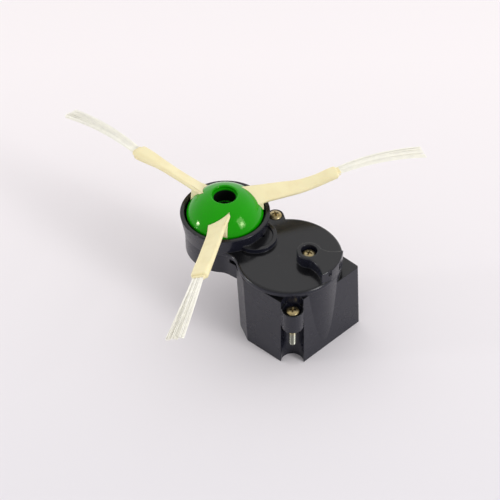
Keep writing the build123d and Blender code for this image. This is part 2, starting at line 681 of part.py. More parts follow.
with BuildPart() as motor_screws:
    for axis in MOTOR_SCREWS:
        bar(axis, ROOM_Z - MOTOR_SCREW_HEAD_H, ROOM_Z, MOTOR_SCREW_HEAD_R)
        bar(axis, DECK_Z - CAN_T, ROOM_Z - MOTOR_SCREW_HEAD_H, MOTOR_SCREW_R)
        with Locations((axis[0], axis[1], ROOM_Z)):
            Box(2 * MOTOR_SCREW_R, TERMINAL_T, MOTOR_SCREW_HEAD_H, mode=Mode.SUBTRACT)
            Box(TERMINAL_T, 2 * MOTOR_SCREW_R, MOTOR_SCREW_HEAD_H, mode=Mode.SUBTRACT)
finish(motor_screws.part, "motor_screws")

# Contact strips: pads in the base, with legs up through the floor to the terminals
for name, side in (("contact_strip_front", -1), ("contact_strip_rear", 1)):
    strip_y = side * (TERMINAL_REACH + TERMINAL_T)
    with BuildPart() as strip:
        with Locations((0, side * (TERMINAL_REACH + TERMINAL_T / 2), CONTACT_RECESS)):
            Box(CONTACT_W, CONTACT_LENGTH, TERMINAL_T, align=SEATED)
        with Locations((0, strip_y, CONTACT_RECESS)):
            Box(TERMINAL_W, TERMINAL_T, MOTOR_BASE_Z - ROOM_GAP - CONTACT_RECESS, align=SEATED)
    finish(strip.part, name)

# Gear train: each pair meets with a tooth of the pinion in a space of the gear
turn_1 = heading(MOTOR_AXIS, FIRST_AXIS)
turn_2 = heading(FIRST_AXIS, SECOND_AXIS)
turn_3 = heading(SECOND_AXIS, BRUSH_AXIS)

with BuildPart() as motor_pinion:
    extrude(gear_outline(MOTOR_AXIS, LEVEL_1, PINION_TEETH, TOOTH_SHIFT, turn_1), amount=GEAR_FACE)
    bar(MOTOR_AXIS, LEVEL_1, LEVEL_1 + GEAR_FACE, SHAFT_R, Mode.SUBTRACT)
finish(motor_pinion.part, "motor_pinion")

first_phase = turn_1 + 180 + 180 / FIRST_TEETH
first_top = COVER_Z - END_GAP
with BuildPart() as first_gear:
    extrude(gear_outline(FIRST_AXIS, LEVEL_1, FIRST_TEETH, -TOOTH_SHIFT, first_phase), amount=GEAR_FACE)
    pinion_base = LEVEL_1 + GEAR_FACE
    extrude(
        gear_outline(FIRST_AXIS, pinion_base, FIRST_PINION_TEETH, TOOTH_SHIFT, turn_2),
        amount=LEVEL_2 + GEAR_FACE - pinion_base,
    )
    bar(FIRST_AXIS, ROOM_Z + END_GAP, first_top, GEAR_HUB_R)
    bar(FIRST_AXIS, ROOM_Z + END_GAP, first_top, AXLE_R + RUNNING_GAP, Mode.SUBTRACT)
finish(first_gear.part, "first_gear")

second_phase = turn_2 + 180 + 180 / SECOND_TEETH
with BuildPart() as second_gear:
    extrude(gear_outline(SECOND_AXIS, LEVEL_2, SECOND_TEETH, -TOOTH_SHIFT, second_phase), amount=GEAR_FACE)
    pinion_base = LEVEL_2 + GEAR_FACE
    extrude(
        gear_outline(SECOND_AXIS, pinion_base, SECOND_PINION_TEETH, TOOTH_SHIFT, turn_3),
        amount=LEVEL_3 + GEAR_FACE - pinion_base,
    )
    bar(SECOND_AXIS, ROOM_Z + END_GAP, LEVEL_3 + GEAR_FACE, GEAR_HUB_R)
    bar(SECOND_AXIS, ROOM_Z + END_GAP, LEVEL_3 + GEAR_FACE, AXLE_R + RUNNING_GAP, Mode.SUBTRACT)
finish(second_gear.part, "second_gear")

output_phase = turn_3 + 180 + 180 / OUTPUT_TEETH
with BuildPart() as output_gear:
    extrude(gear_outline(BRUSH_AXIS, LEVEL_3, OUTPUT_TEETH, -TOOTH_SHIFT, output_phase), amount=GEAR_FACE)
    bar(BRUSH_AXIS, ROOM_Z - AXLE_SOCKET + END_GAP, LEVEL_3, JOURNAL_R)
    bar(BRUSH_AXIS, LEVEL_3 + GEAR_FACE, SHOULDER_OUT_Z, OUTPUT_R)
    with Locations((BRUSH_AXIS[0], BRUSH_AXIS[1], SHOULDER_OUT_Z)):
        Box(POST_SIDE, POST_SIDE, POST_H, align=SEATED)
    bar(BRUSH_AXIS, HUB_SEAT_Z - HUB_SCREW_LENGTH, POST_TOP_Z, SCREW_R, Mode.SUBTRACT)
finish(output_gear.part, "output_gear")

for name, axis, top in (
    ("first_axle", FIRST_AXIS, COVER_Z + AXLE_SOCKET),
    ("second_axle", SECOND_AXIS, AXLE_TOP_Z),
):
    with BuildPart() as axle:
        bar(axis, ROOM_Z - AXLE_SOCKET, top, AXLE_R)
    finish(axle.part, name)

with BuildPart() as output_bush:
    bar(BRUSH_AXIS, COVER_Z, DISC_Z, OUTPUT_BUSH_R)
    bar(BRUSH_AXIS, COVER_Z, DISC_Z, OUTPUT_R + RUNNING_GAP, Mode.SUBTRACT)
finish(output_bush.part, "output_bush")


def arm_plane(angle, radius, rise, pitch=ARM_PITCH):
    """The plane across an arm at a radius, tipped so that the edge on its left side is raised."""
    x, y = polar(radius, angle, BRUSH_AXIS)
    outward = Vector(cos(radians(angle)), sin(radians(angle)), 0)
    across = Vector(-outward.Y, outward.X, 0)
    width = across * cos(radians(pitch)) + Vector(0, 0, sin(radians(pitch)))
    return Plane(origin=(x, y, ARM_Z + rise), x_dir=width, z_dir=outward)


# Arms: pitched elastomer blades with a deep root block and a socket for the tuft
TUFT_W = STRANDS_PER_ROW * STRAND_PITCH
TUFT_T = STRAND_ROWS * ROW_PITCH
lean_cos, lean_sin = cos(radians(ARM_PITCH)), sin(radians(ARM_PITCH))


def root_section(width):
    """The corners across a root block: its top follows the blade, its level underside is in the hub."""
    high = ((width * lean_cos - ARM_T * lean_sin) / 2, (width * lean_sin + ARM_T * lean_cos) / 2)
    low = ((-width * lean_cos - ARM_T * lean_sin) / 2, (-width * lean_sin + ARM_T * lean_cos) / 2)
    return (
        high,
        low,
        (low[0] - ARM_ROOT_FLARE / 2, -ARM_ROOT_DROP),
        (high[0] + ARM_ROOT_FLARE, -ARM_ROOT_DROP),
    )


arms = []
shoulder_r = ARM_END_R - ARM_END_TAPER
for number, (angle, (knee_rise, end_rise, tip_rise)) in enumerate(zip(ARM_ANGLES, ARM_RISES), start=1):
    end_plane = arm_plane(angle, ARM_END_R, end_rise)
    tip_plane = arm_plane(angle, TUFT_TIP_R, tip_rise)
    blade = (
        (ARM_ROOT_R, 0.0, ARM_ROOT_W, ARM_T),
        (ARM_NECK_R, 0.0, ARM_NECK_W, ARM_T),
        (ARM_KNEE_R, knee_rise, ARM_W, ARM_T),
        (shoulder_r, end_rise, ARM_W, ARM_END_T),
    )
    with BuildPart() as arm:
        for radius, rise, width, thickness in blade:
            with BuildSketch(arm_plane(angle, radius, rise)):
                RectangleRounded(width, thickness, ARM_ROUND)
        loft()
        for radius, inset in ((shoulder_r, 0.0), (ARM_END_R, ARM_END_INSET)):
            with BuildSketch(arm_plane(angle, radius, end_rise)):
                RectangleRounded(ARM_W - 2 * inset, ARM_END_T - 2 * inset, ARM_ROUND - inset / 2)
        loft(ruled=True)
        for radius, width in ((ARM_ROOT_R, ARM_ROOT_W), (HUB_R - ARM_ROOT_STOP, ARM_NECK_W)):
            with BuildSketch(arm_plane(angle, radius, 0.0, pitch=0.0)):
                Polygon(*root_section(width), align=None)
        loft(ruled=True)
        with BuildSketch(end_plane):
            Rectangle(TUFT_W, TUFT_T)
        extrude(amount=-TUFT_SEAT, mode=Mode.SUBTRACT)
    finish(arm.part, f"brush_arm_{number}")
    arms.append(arm.part)

    # Its tuft: a root block in the socket, and flat rows of strands that fan out to the tip circle
    with BuildPart() as tuft:
        with BuildSketch(end_plane):
            Rectangle(TUFT_W, TUFT_T)
        extrude(amount=-TUFT_SEAT)
        for row in range(STRAND_ROWS):
            for strand in range(STRANDS_PER_ROW):
                across = (strand - (STRANDS_PER_ROW - 1) / 2) * STRAND_PITCH
                up = (row - (STRAND_ROWS - 1) / 2) * ROW_PITCH
                short = STRAND_STAGGER * ((5 * strand + 3 * row) % STRANDS_PER_ROW) / STRANDS_PER_ROW
                start = end_plane.from_local_coords(Vector(across, up, 0))
                end = tip_plane.from_local_coords(Vector(across * STRAND_FAN, up * STRAND_FAN, -short))
                run = end - start
                with BuildSketch(Plane(origin=start, x_dir=end_plane.x_dir, z_dir=run)):
                    RegularPolygon(STRAND_R, 6)
                extrude(amount=run.length)
    finish(tuft.part, f"bristle_tuft_{number}")

# Brush hub: domed shell with a square socket, a screw well and the arms' sockets
dome_centre = HUB_TOP_Z - sqrt(DOME_R**2 - HUB_LIP_R**2)
dome_edge = dome_centre + sqrt(DOME_R**2 - HUB_R**2)
dome_middle_r = (HUB_R + HUB_LIP_R) / 2
dome_middle = dome_centre + sqrt(DOME_R**2 - dome_middle_r**2)
with BuildPart() as brush_hub:
    with BuildSketch(section_plane(BRUSH_AXIS)):
        with BuildLine():
            Line((0, HUB_SKIRT_Z), (HUB_R, HUB_SKIRT_Z))
            Line((HUB_R, HUB_SKIRT_Z), (HUB_R, dome_edge))
            ThreePointArc((HUB_R, dome_edge), (dome_middle_r, dome_middle), (HUB_LIP_R, HUB_TOP_Z))
            TangentArc(
                (HUB_LIP_R, HUB_TOP_Z),
                (HUB_HOLE_R, HUB_TOP_Z - HUB_LIP_DROP),
                tangent=(-1, HUB_LIP_R / (HUB_TOP_Z - dome_centre)),
            )
            Line((HUB_HOLE_R, HUB_TOP_Z - HUB_LIP_DROP), (HUB_HOLE_R, HUB_SEAT_Z))
            Line((HUB_HOLE_R, HUB_SEAT_Z), (0, HUB_SEAT_Z))
            Line((0, HUB_SEAT_Z), (0, HUB_SKIRT_Z))
        make_face()
    revolve(axis=upright(BRUSH_AXIS))
    with BuildSketch(level(BRUSH_AXIS, HUB_SKIRT_Z)):
        Circle(HUB_R - HUB_WALL)
        Circle(HUB_BOSS_R, mode=Mode.SUBTRACT)
    extrude(amount=HUB_WEB_Z - HUB_SKIRT_Z, mode=Mode.SUBTRACT)
    bar(BRUSH_AXIS, HUB_WEB_Z, HUB_SEAT_Z, SCREW_R + SCREW_HOLE_GAP, Mode.SUBTRACT)
    with Locations((BRUSH_AXIS[0], BRUSH_AXIS[1], HUB_SKIRT_Z)):
        Box(
            POST_SIDE + 2 * RUNNING_GAP,
            POST_SIDE + 2 * RUNNING_GAP,
            HUB_WEB_Z - HUB_SKIRT_Z,
            align=SEATED,
            mode=Mode.SUBTRACT,
        )
    for arm_part in arms:
        add(arm_part, mode=Mode.SUBTRACT)
finish(brush_hub.part, "brush_hub")

# Hub sleeve: dark liner of the screw well, below the rounded lip
with BuildPart() as hub_sleeve:
    sleeve_top = HUB_TOP_Z - HUB_LIP_DROP - SLEEVE_DROP
    bar(BRUSH_AXIS, HUB_SEAT_Z, sleeve_top, HUB_HOLE_R)
    bar(BRUSH_AXIS, HUB_SEAT_Z, sleeve_top, HUB_HOLE_R - SLEEVE_T, Mode.SUBTRACT)
finish(hub_sleeve.part, "hub_sleeve")

# Visible screws
finish(pan_screw(BRUSH_AXIS, HUB_SEAT_Z, HUB_SCREW_LENGTH), "hub_screw")
finish(pan_screw(PAD_SCREW, PAD_SEAT_Z, PAD_SEAT_Z - ROOM_Z - END_GAP), "cover_screw")
finish(pan_screw(REAR_SCREW, REAR_SEAT_Z, REAR_SCREW_LENGTH), "rear_screw")
mount_neck = MOUNT_SEAT_T + END_GAP
finish(pan_screw(MOUNT_SCREW, MOUNT_SEAT_Z, MOUNT_SCREW_LENGTH, mount_neck), "mounting_screw")
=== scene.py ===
# %% [markdown]
# A side brush module from a robot vacuum: a dark moulded gear housing with a spinning brush on top.
# The solids come packed from the CAD step. Blender gives them their finishes, and makes the pieces
# that are too fine or too soft for CAD: the bristles, the threads and crosses of the screws, and
# the bent and twisted arms.

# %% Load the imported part
import json
import random
from math import cos, pi, radians, sin

import bmesh
import bpy
from mathutils import Matrix, Vector


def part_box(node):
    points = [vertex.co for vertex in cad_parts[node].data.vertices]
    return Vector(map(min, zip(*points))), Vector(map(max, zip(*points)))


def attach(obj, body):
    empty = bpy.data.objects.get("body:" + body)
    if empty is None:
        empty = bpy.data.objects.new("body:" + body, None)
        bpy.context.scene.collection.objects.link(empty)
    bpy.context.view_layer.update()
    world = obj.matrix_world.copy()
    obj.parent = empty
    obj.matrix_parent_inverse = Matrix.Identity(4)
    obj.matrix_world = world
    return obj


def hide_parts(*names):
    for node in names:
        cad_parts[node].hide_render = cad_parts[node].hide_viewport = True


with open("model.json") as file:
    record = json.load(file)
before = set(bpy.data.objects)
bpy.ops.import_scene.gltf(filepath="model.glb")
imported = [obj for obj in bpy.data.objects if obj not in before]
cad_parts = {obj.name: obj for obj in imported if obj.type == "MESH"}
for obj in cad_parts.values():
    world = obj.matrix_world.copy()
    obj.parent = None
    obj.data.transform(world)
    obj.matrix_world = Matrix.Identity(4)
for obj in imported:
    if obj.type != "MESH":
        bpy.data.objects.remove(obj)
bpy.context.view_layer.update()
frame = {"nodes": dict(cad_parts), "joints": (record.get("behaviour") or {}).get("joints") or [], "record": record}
MM = 0.001
nodes = frame["nodes"]
for plain in list(bpy.data.materials):
    bpy.data.materials.remove(plain)

# %% [markdown]
# Every joint of the part is an upright axis. The arms and the bristles are placed from the joint of
# the brush, so its axis is read from the frame and not typed again.

# %% Read the brush axis
UP = Vector((0, 0, 1))
axes = {joint["name"]: Vector(joint["pos_m"]) for joint in frame["joints"]}
brush_axis = axes["brush_spin"]
brush_foot = Vector((brush_axis.x, brush_axis.y, 0))
print("brush axis in mm", [round(v / MM, 2) for v in brush_axis])

# %% [markdown]
# A finish is a small program: textures vary a few of the shader's sockets. Wiring nodes by hand
# hides that, so a wire, one output of a node, gets Python's arithmetic. An expression on wires
# then adds the Math nodes that it needs.


# %% Wires
class Wire:
    """One output of a node. Arithmetic on it adds Math nodes to the same finish."""

    def __init__(self, finish, socket):
        self.finish = finish
        self.socket = socket

    def maths(self, operation, first, second):
        return self.finish.node("ShaderNodeMath", {"operation": operation}, {0: first, 1: second})

    def __add__(self, other):
        return self.maths("ADD", self, other)

    def __radd__(self, other):
        return self.maths("ADD", other, self)

    def __sub__(self, other):
        return self.maths("SUBTRACT", self, other)

    def __rsub__(self, other):
        return self.maths("SUBTRACT", other, self)

    def __mul__(self, other):
        return self.maths("MULTIPLY", self, other)

    def __rmul__(self, other):
        return self.maths("MULTIPLY", other, self)


print("wires can be added, subtracted and multiplied")

# %% [markdown]
# A finish holds the nodes of one material, or of the world. One method makes any node: its settings
# come first, because they decide which inputs it has. The others are short names for what the
# finishes below use most: noise in a real size, patches of it, mixed colours, directions and
# relief.

# %% Finishes
# The Mix node's sockets go by number, because those for colours share their names with others
MIX_SHARE, MIX_FIRST, MIX_SECOND, MIX_RESULT = 0, 6, 7, 2
EDGE_SAMPLES = 6


class Finish:
    """A material or a world. One method adds its nodes, another feeds its shader's sockets."""

    def __init__(self, holder, shader="Principled BSDF", place="Object"):
        holder.use_nodes = True
        self.holder = holder
        self.tree = holder.node_tree
        self.shader = self.tree.nodes[shader]
        self.place = self.node("ShaderNodeTexCoord", out=place)

    def node(self, kind, settings=None, inputs=None, out=0):
        made = self.tree.nodes.new(kind)
        for name, value in (settings or {}).items():
            setattr(made, name, value)
        for name, value in (inputs or {}).items():
            self.feed(made.inputs[name], value)
        return Wire(self, made.outputs[out])

    def feed(self, socket, value):
        if isinstance(value, Wire):
            self.tree.links.new(value.socket, socket)
        else:
            socket.default_value = value

    def set(self, **values):
        """Feed the shader's sockets, named in lower case with underscores."""
        for name, value in values.items():
            title = name.replace("_", " ").title().replace("Ior", "IOR")
            self.feed(self.shader.inputs[title], value)

    def noise(self, size, detail, vector=None):
        """Cloudy noise about 0.5, with features of a size in metres."""
        inputs = {"Vector": vector or self.place, "Scale": 1 / size, "Detail": detail}
        return self.node("ShaderNodeTexNoise", None, inputs)

    def between(self, value, low, high):
        """Map a value from one range to 0 and 1, held at the ends."""
        inputs = {"Value": value, "From Min": low, "From Max": high}
        return self.node("ShaderNodeMapRange", None, inputs)

    def patches(self, size, detail, low, high, vector=None):
        """Noise that is 0 under a low value and 1 over a high one."""
        return self.between(self.noise(size, detail, vector), low, high)

    def mix(self, share, first, second):
        inputs = {MIX_SHARE: share, MIX_FIRST: first, MIX_SECOND: second}
        return self.node("ShaderNodeMix", {"data_type": "RGBA"}, inputs, MIX_RESULT)

    def along(self, vector, direction):
        """How far a vector goes in a direction."""
        inputs = {0: vector, 1: direction}
        return self.node("ShaderNodeVectorMath", {"operation": "DOT_PRODUCT"}, inputs, "Value")

    def bump(self, height, depth, edge=0.0):
        """Relief of a depth in metres, for heights from 0 to 1, over edges that look rounded."""
        inputs = {"Height": height, "Distance": depth}
        if edge:
            inputs["Normal"] = self.node(
                "ShaderNodeBevel", {"samples": EDGE_SAMPLES}, {"Radius": edge}
            )
        self.set(normal=self.node("ShaderNodeBump", None, inputs, "Normal"))


def material(name):
    return Finish(bpy.data.materials.new(name))


def grey(value):
    return (value, value, value, 1.0)


print("finishes ready")

# %% [markdown]
# The housing is dark grey ABS from a polished tool that has worn a little: a half gloss with a fine
# orange peel. Its walls slid along the tool on the way out, so they are duller than its flat tops.
# Their colour is painted a little lighter and bluer than the tops, as painted reflection of the
# pale floor. Handling leaves soft smears in the gloss, and edges rub lighter. A bevelled normal
# differs from the true one only near an edge, which finds the edges on any mesh. The same node,
# fed to the bump, rounds each edge enough to catch a line of light.

# %% Housing plastic
TOP_GREY = (0.006, 0.006, 0.007, 1)
# The walls' lighter, bluer grey is painted reflection of the floor
WALL_PAINTED_REFLECTION_GREY = (0.0105, 0.011, 0.019, 1)
RUB_GREY = (0.05, 0.05, 0.06, 1)
DUST_GREY = grey(0.35)
RUB_SHARE = 0.35
RUB_SAMPLES = 4
DUST_SHARE = 0.1
TOP_ROUGHNESS = 0.14
WALL_DULLS = 0.1
SMEAR_DULLS = 0.08
DUST_DULLS = 0.12


def edge_rub(finish, true, width):
    """1 on an edge, and 0 further from it than a width."""
    rounded = finish.node("ShaderNodeBevel", {"samples": RUB_SAMPLES}, {"Radius": width})
    return 1 - finish.between(finish.along(rounded, true), low=0.8, high=0.985)


def moulded_plastic(name):
    finish = material(name)
    true = finish.node("ShaderNodeNewGeometry", out="Normal")
    wall = 1 - finish.between(finish.along(true, UP), low=0.4, high=0.9)
    peel = finish.noise(size=0.7 * MM, detail=3)
    smear = finish.patches(size=8 * MM, detail=4, low=0.35, high=0.7)
    dust = finish.patches(size=0.8 * MM, detail=5, low=0.68, high=0.8)
    worn = finish.patches(size=2.5 * MM, detail=3, low=0.35, high=0.65)
    rub = edge_rub(finish, true, width=0.3 * MM) * worn
    # Walls get the lighter, bluer grey: painted reflection of the floor
    clean_with_painted_wall_reflection = finish.mix(wall, TOP_GREY, WALL_PAINTED_REFLECTION_GREY)
    rubbed = finish.mix(rub * RUB_SHARE, clean_with_painted_wall_reflection, RUB_GREY)
    dulled = wall * WALL_DULLS + smear * SMEAR_DULLS + dust * DUST_DULLS
    finish.set(base_color=finish.mix(dust * DUST_SHARE, rubbed, DUST_GREY))
    finish.set(roughness=TOP_ROUGHNESS + dulled, specular_ior_level=0.4)
    finish.bump(peel, depth=0.012 * MM, edge=0.4 * MM)
    return finish


housing_grey = moulded_plastic("housing_plastic")
print("made", housing_grey.holder.name)

# %% [markdown]
# The hub is polished green plastic, glossy enough to mirror the lamps, with hair-fine swirls from
# being wiped. Stretched noise makes the swirls: it only moves the roughness, as real ones do. The
# gloss leans towards green, so that the pale room doesn't wash the colour out. The gears inside are
# white and have the same gloss.

# %% Hub plastic
GREEN = (0.007, 0.33, 0.0005, 1)
DEEP_GREEN = (0.004, 0.27, 0.0005, 1)
GREEN_TINT = (0.85, 1.0, 0.55, 1)
GEAR_WHITE = (0.78, 0.77, 0.72, 1)
DEEP_WHITE = (0.7, 0.69, 0.63, 1)
WIPE_STRETCH = (1, 7, 4)
POLISH_ROUGHNESS = 0.1
SWIRL_DULLS = 0.08


def glossy_plastic(name, colour, deep, tint):
    finish = material(name)
    cloud = finish.noise(size=7 * MM, detail=3)
    inputs = {"Vector": finish.place, "Scale": WIPE_STRETCH}
    wiped = finish.node("ShaderNodeMapping", None, inputs)
    swirl = finish.patches(size=3 * MM, detail=6, low=0.58, high=0.72, vector=wiped)
    finish.set(base_color=finish.mix(cloud, colour, deep))
    finish.set(roughness=POLISH_ROUGHNESS + swirl * SWIRL_DULLS)
    finish.set(specular_ior_level=0.3, specular_tint=tint)
    finish.bump(cloud, depth=0.03 * MM, edge=0.6 * MM)
    return finish


hub_green = glossy_plastic("hub_plastic", GREEN, DEEP_GREEN, GREEN_TINT)
gear_white = glossy_plastic("gear_plastic", GEAR_WHITE, DEEP_WHITE, grey(1.0))
print("made", hub_green.holder.name, gear_white.holder.name)

# %% [markdown]
# The hub's well is lined with a dark sleeve. Its mouth has the hub's green, and the black below
# it is painted shade for the deep well, so the height decides the colour. The gear deck and the
# motor's cap are of the same dull black plastic, and lie far below the mouth.

# %% Lining plastic
# Black plastic of the hidden parts, and painted shade in the hub's well
LINING_BLACK_AND_PAINTED_SHADE = grey(0.005)
PAINTED_SHADE_DEPTH = 0.7 * MM
GREEN_DEPTH = 0.3 * MM
LINING_ROUGHNESS = 0.5
CLOUD_DULLS = 0.1


def lining_with_painted_shade(name, mouth):
    finish = material(name)
    cloud = finish.noise(size=3 * MM, detail=3)
    height = finish.along(finish.place, UP)
    # Below the mouth the black is painted shade for the deep well
    green_over_painted_shade = finish.between(height, mouth - PAINTED_SHADE_DEPTH, mouth - GREEN_DEPTH)
    finish.set(base_color=finish.mix(green_over_painted_shade, LINING_BLACK_AND_PAINTED_SHADE, GREEN))
    finish.set(roughness=LINING_ROUGHNESS + cloud * CLOUD_DULLS, specular_ior_level=0.12)
    return finish


sleeve_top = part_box("hub_sleeve")[1][2]
inner_black_and_painted_shade = lining_with_painted_shade("inner_plastic", sleeve_top)
print("made", inner_black_and_painted_shade.holder.name, "with its mouth at mm", round(sleeve_top / MM, 1))

# %% [markdown]
# The arms are a cream elastomer, dull and slightly soft looking. Light goes a little way in, so a
# little subsurface is set on the shader, and dust clings to it in patches.

# %% Arm elastomer
CREAM = (0.88, 0.79, 0.48, 1)
STAINED_CREAM = (0.8, 0.69, 0.4, 1)
LIGHT_REACH = (1.0, 0.8, 0.5)
CREAM_ROUGHNESS = 0.42
PATCH_DULLS = 0.2


def elastomer(name):
    finish = material(name)
    patch = finish.noise(size=6 * MM, detail=4)
    grain = finish.noise(size=0.3 * MM, detail=3)
    stain = finish.between(patch, low=0.45, high=0.8)
    finish.set(base_color=finish.mix(stain, CREAM, STAINED_CREAM))
    finish.set(roughness=CREAM_ROUGHNESS + patch * PATCH_DULLS)
    finish.set(subsurface_weight=0.12, subsurface_scale=1.2 * MM, subsurface_radius=LIGHT_REACH)
    finish.bump(grain, depth=0.02 * MM, edge=0.4 * MM)
    return finish


arm_cream = elastomer("arm_elastomer")
print("made", arm_cream.holder.name)

# %% [markdown]
# The bristles are clear nylon filaments. One of them alone is like glass, but a bundle scatters
# light back and forth until it looks milky. A pale colour with a little sheen gives that without
# the noise of real refraction. The colour drifts along and across the bundle, as some filaments
# hold more dust.

# %% Bristle nylon
CLEAN_NYLON = (1.0, 0.98, 0.88, 1)
DUSTY_NYLON = (0.92, 0.9, 0.82, 1)
NYLON_ROUGHNESS = 0.3
DRIFT_DULLS = 0.2


def nylon(name):
    finish = material(name)
    drift = finish.patches(size=2.2 * MM, detail=3, low=0.35, high=0.7)
    finish.set(base_color=finish.mix(drift, CLEAN_NYLON, DUSTY_NYLON))
    finish.set(roughness=NYLON_ROUGHNESS + drift * DRIFT_DULLS)
    finish.set(sheen_weight=0.5, sheen_roughness=0.4)
    return finish


bristle_pale = nylon("bristle")
print("made", bristle_pale.holder.name)

# %% [markdown]
# The screws are steel, plated with zinc and passivated yellow. The film's colour drifts between
# straw and olive with its thickness. The mounting screw's thread has been driven before, so the
# yellow is rubbed off its lower end. The other screws lie higher, so a height is enough to tell.
# The other metals differ only in colour, gloss and the size of the marks.

# %% Metals
BARE_ZINC = (0.27, 0.27, 0.23, 1)
screw_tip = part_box("mounting_screw")[0][2]
YELLOW_FROM = screw_tip + 8 * MM
BARE_UNDER = screw_tip + 6 * MM
FILM_OVER_MARK = 6
MARK_SPREAD = 0.16

# Each metal: its colour, the colour it drifts to, its roughness, the size of its marks in mm, and
# the colour under its film where that has rubbed off
METALS = {
    "yellow_zinc": ((0.46, 0.36, 0.17, 1), (0.32, 0.27, 0.16, 1), 0.34, 0.25, BARE_ZINC),
    "black_steel": ((0.03, 0.03, 0.032, 1), (0.05, 0.047, 0.045, 1), 0.45, 0.25),
    "steel": ((0.6, 0.6, 0.61, 1), (0.54, 0.55, 0.57, 1), 0.32, 0.3),
    "ferrite": ((0.06, 0.06, 0.065, 1), (0.09, 0.085, 0.08, 1), 0.7, 0.4),
    "copper": ((0.72, 0.33, 0.16, 1), (0.62, 0.27, 0.12, 1), 0.35, 0.3),
    "bronze": ((0.62, 0.44, 0.22, 1), (0.55, 0.37, 0.17, 1), 0.45, 0.2),
    "contact_metal": ((0.72, 0.7, 0.64, 1), (0.66, 0.63, 0.56, 1), 0.25, 0.4),
}


def metal(name, colour, drift, roughness, mark_mm, bare=None):
    finish = material(name)
    size = mark_mm * MM
    film = finish.patches(size * FILM_OVER_MARK, detail=3, low=0.35, high=0.65)
    marks = finish.noise(size, detail=4)
    plated = finish.mix(film, colour, drift)
    if bare:
        kept = finish.between(finish.along(finish.place, UP), BARE_UNDER, YELLOW_FROM)
        plated = finish.mix(kept, bare, plated)
    finish.set(base_color=plated, metallic=1.0)
    finish.set(roughness=roughness + MARK_SPREAD * (marks - 0.5))
    finish.bump(marks, depth=0.008 * MM)
    return finish


metals = [metal(name, *values) for name, values in METALS.items()]
print("made", len(metals), "metals, the yellow one bare under mm", round(BARE_UNDER / MM, 1))

# %% [markdown]
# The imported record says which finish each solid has. The meshes come with flat facets, so round
# faces are shaded smooth and only edges over a set angle stay sharp.

# %% Dress the solids
SHARP_ANGLE = radians(32)


def smooth(mesh):
    mesh.shade_smooth()
    mesh.set_sharp_from_angle(angle=SHARP_ANGLE)


finishes = [housing_grey, hub_green, gear_white, inner_black_and_painted_shade, arm_cream, bristle_pale, *metals]
by_slot = {finish.holder.name: finish.holder for finish in finishes}
for part in frame["record"]["subparts"]:
    solid = nodes[part["node"]]
    solid.data.materials.clear()
    solid.data.materials.append(by_slot[part["material_slot"]])
    smooth(solid.data)

# %% [markdown]
# Arms, filaments and threads are all skins over rings of points. One function joins rings into a
# closed mesh, and another gives the mesh a finish, a body to ride on and the CAD node that it
# stands for.


# %% Skins over rings
def add_skin(builder, rings):
    """Join rings of points, each with the same count, into a closed tube in a bmesh builder."""
    rows = [[builder.verts.new(point) for point in ring] for ring in rings]
    for row, following in zip(rows, rows[1:]):
        for here in range(len(row)):
            there = (here + 1) % len(row)
            builder.faces.new((row[here], row[there], following[there], following[here]))
    builder.faces.new(list(reversed(rows[0])))
    builder.faces.new(rows[-1])


def skin(rings):
    """A new builder that holds one such tube."""
    builder = bmesh.new()
    add_skin(builder, rings)
    return builder


def around(count):
    """Directions round a circle, as cosine and sine."""
    angles = [2 * pi * step / count for step in range(count)]
    return [(cos(angle), sin(angle)) for angle in angles]


def built(name, builder):
    """Turn a builder into an object in the scene."""
    mesh = bpy.data.meshes.new(name)
    builder.normal_update()
    builder.to_mesh(mesh)
    builder.free()
    made = bpy.data.objects.new(name, mesh)
    bpy.context.collection.objects.link(made)
    return made


def piece(name, builder, slot, body, node):
    """Turn a builder into a piece that rides on a body and stands for a CAD node."""
    made = built(name, builder)
    made.data.materials.append(by_slot[slot])
    smooth(made.data)
    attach(made, body)
    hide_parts(node)
    return made


print("skins ready")

# %% [markdown]
# A boolean modifier joins a second closed mesh to a piece, or cuts it out. The result replaces the
# piece's mesh, so that nothing depends on the second mesh any more. A boolean leaves slivers along
# the seam, so points that are nearer than a few microns are welded after it.

# %% Join and cut
WELD = 0.004 * MM


def combine(made, builder, operation):
    """Join the closed mesh in a builder to a piece, or cut it out of the piece."""
    tool = built("tool", builder)
    change = made.modifiers.new("combine", "BOOLEAN")
    change.operation = operation
    change.object = tool
    bpy.context.view_layer.update()
    result = made.evaluated_get(bpy.context.evaluated_depsgraph_get())
    shaped = bpy.data.meshes.new_from_object(result)
    made.modifiers.clear()
    neat = bmesh.new()
    neat.from_mesh(shaped)
    bmesh.ops.remove_doubles(neat, verts=neat.verts, dist=WELD)
    bmesh.ops.dissolve_degenerate(neat, edges=neat.edges, dist=WELD)
    neat.to_mesh(shaped)
    neat.free()
    made.data = shaped
    smooth(shaped)
    bpy.data.objects.remove(tool)
    return len(shaped.polygons)


print("booleans ready, with points welded within mm", WELD / MM)

# %% [markdown]
# An arm is a soft elastomer strip. It leaves the hub as a pitched blade, untwists on its way out,
# and ends in a thicker and rounder sleeve. Each arm of a used brush has taken a set of its own, so
# each one has its own stations. A cubic through them gives a smooth run: at each station it has
# the slope from the one before to the one after.

# %% Stations along an arm
BLADE_T = 1.8
BLADE_PITCH = 28

# Each station in mm and degrees: distance from the axis, rise, width, thickness, pitch
ROOT_STATIONS = (
    (7.6, 0.0, 8.8, BLADE_T, BLADE_PITCH),
    (12, 0.0, 8.0, BLADE_T, BLADE_PITCH),
    (16, 0.0, 7.3, BLADE_T, BLADE_PITCH),
)

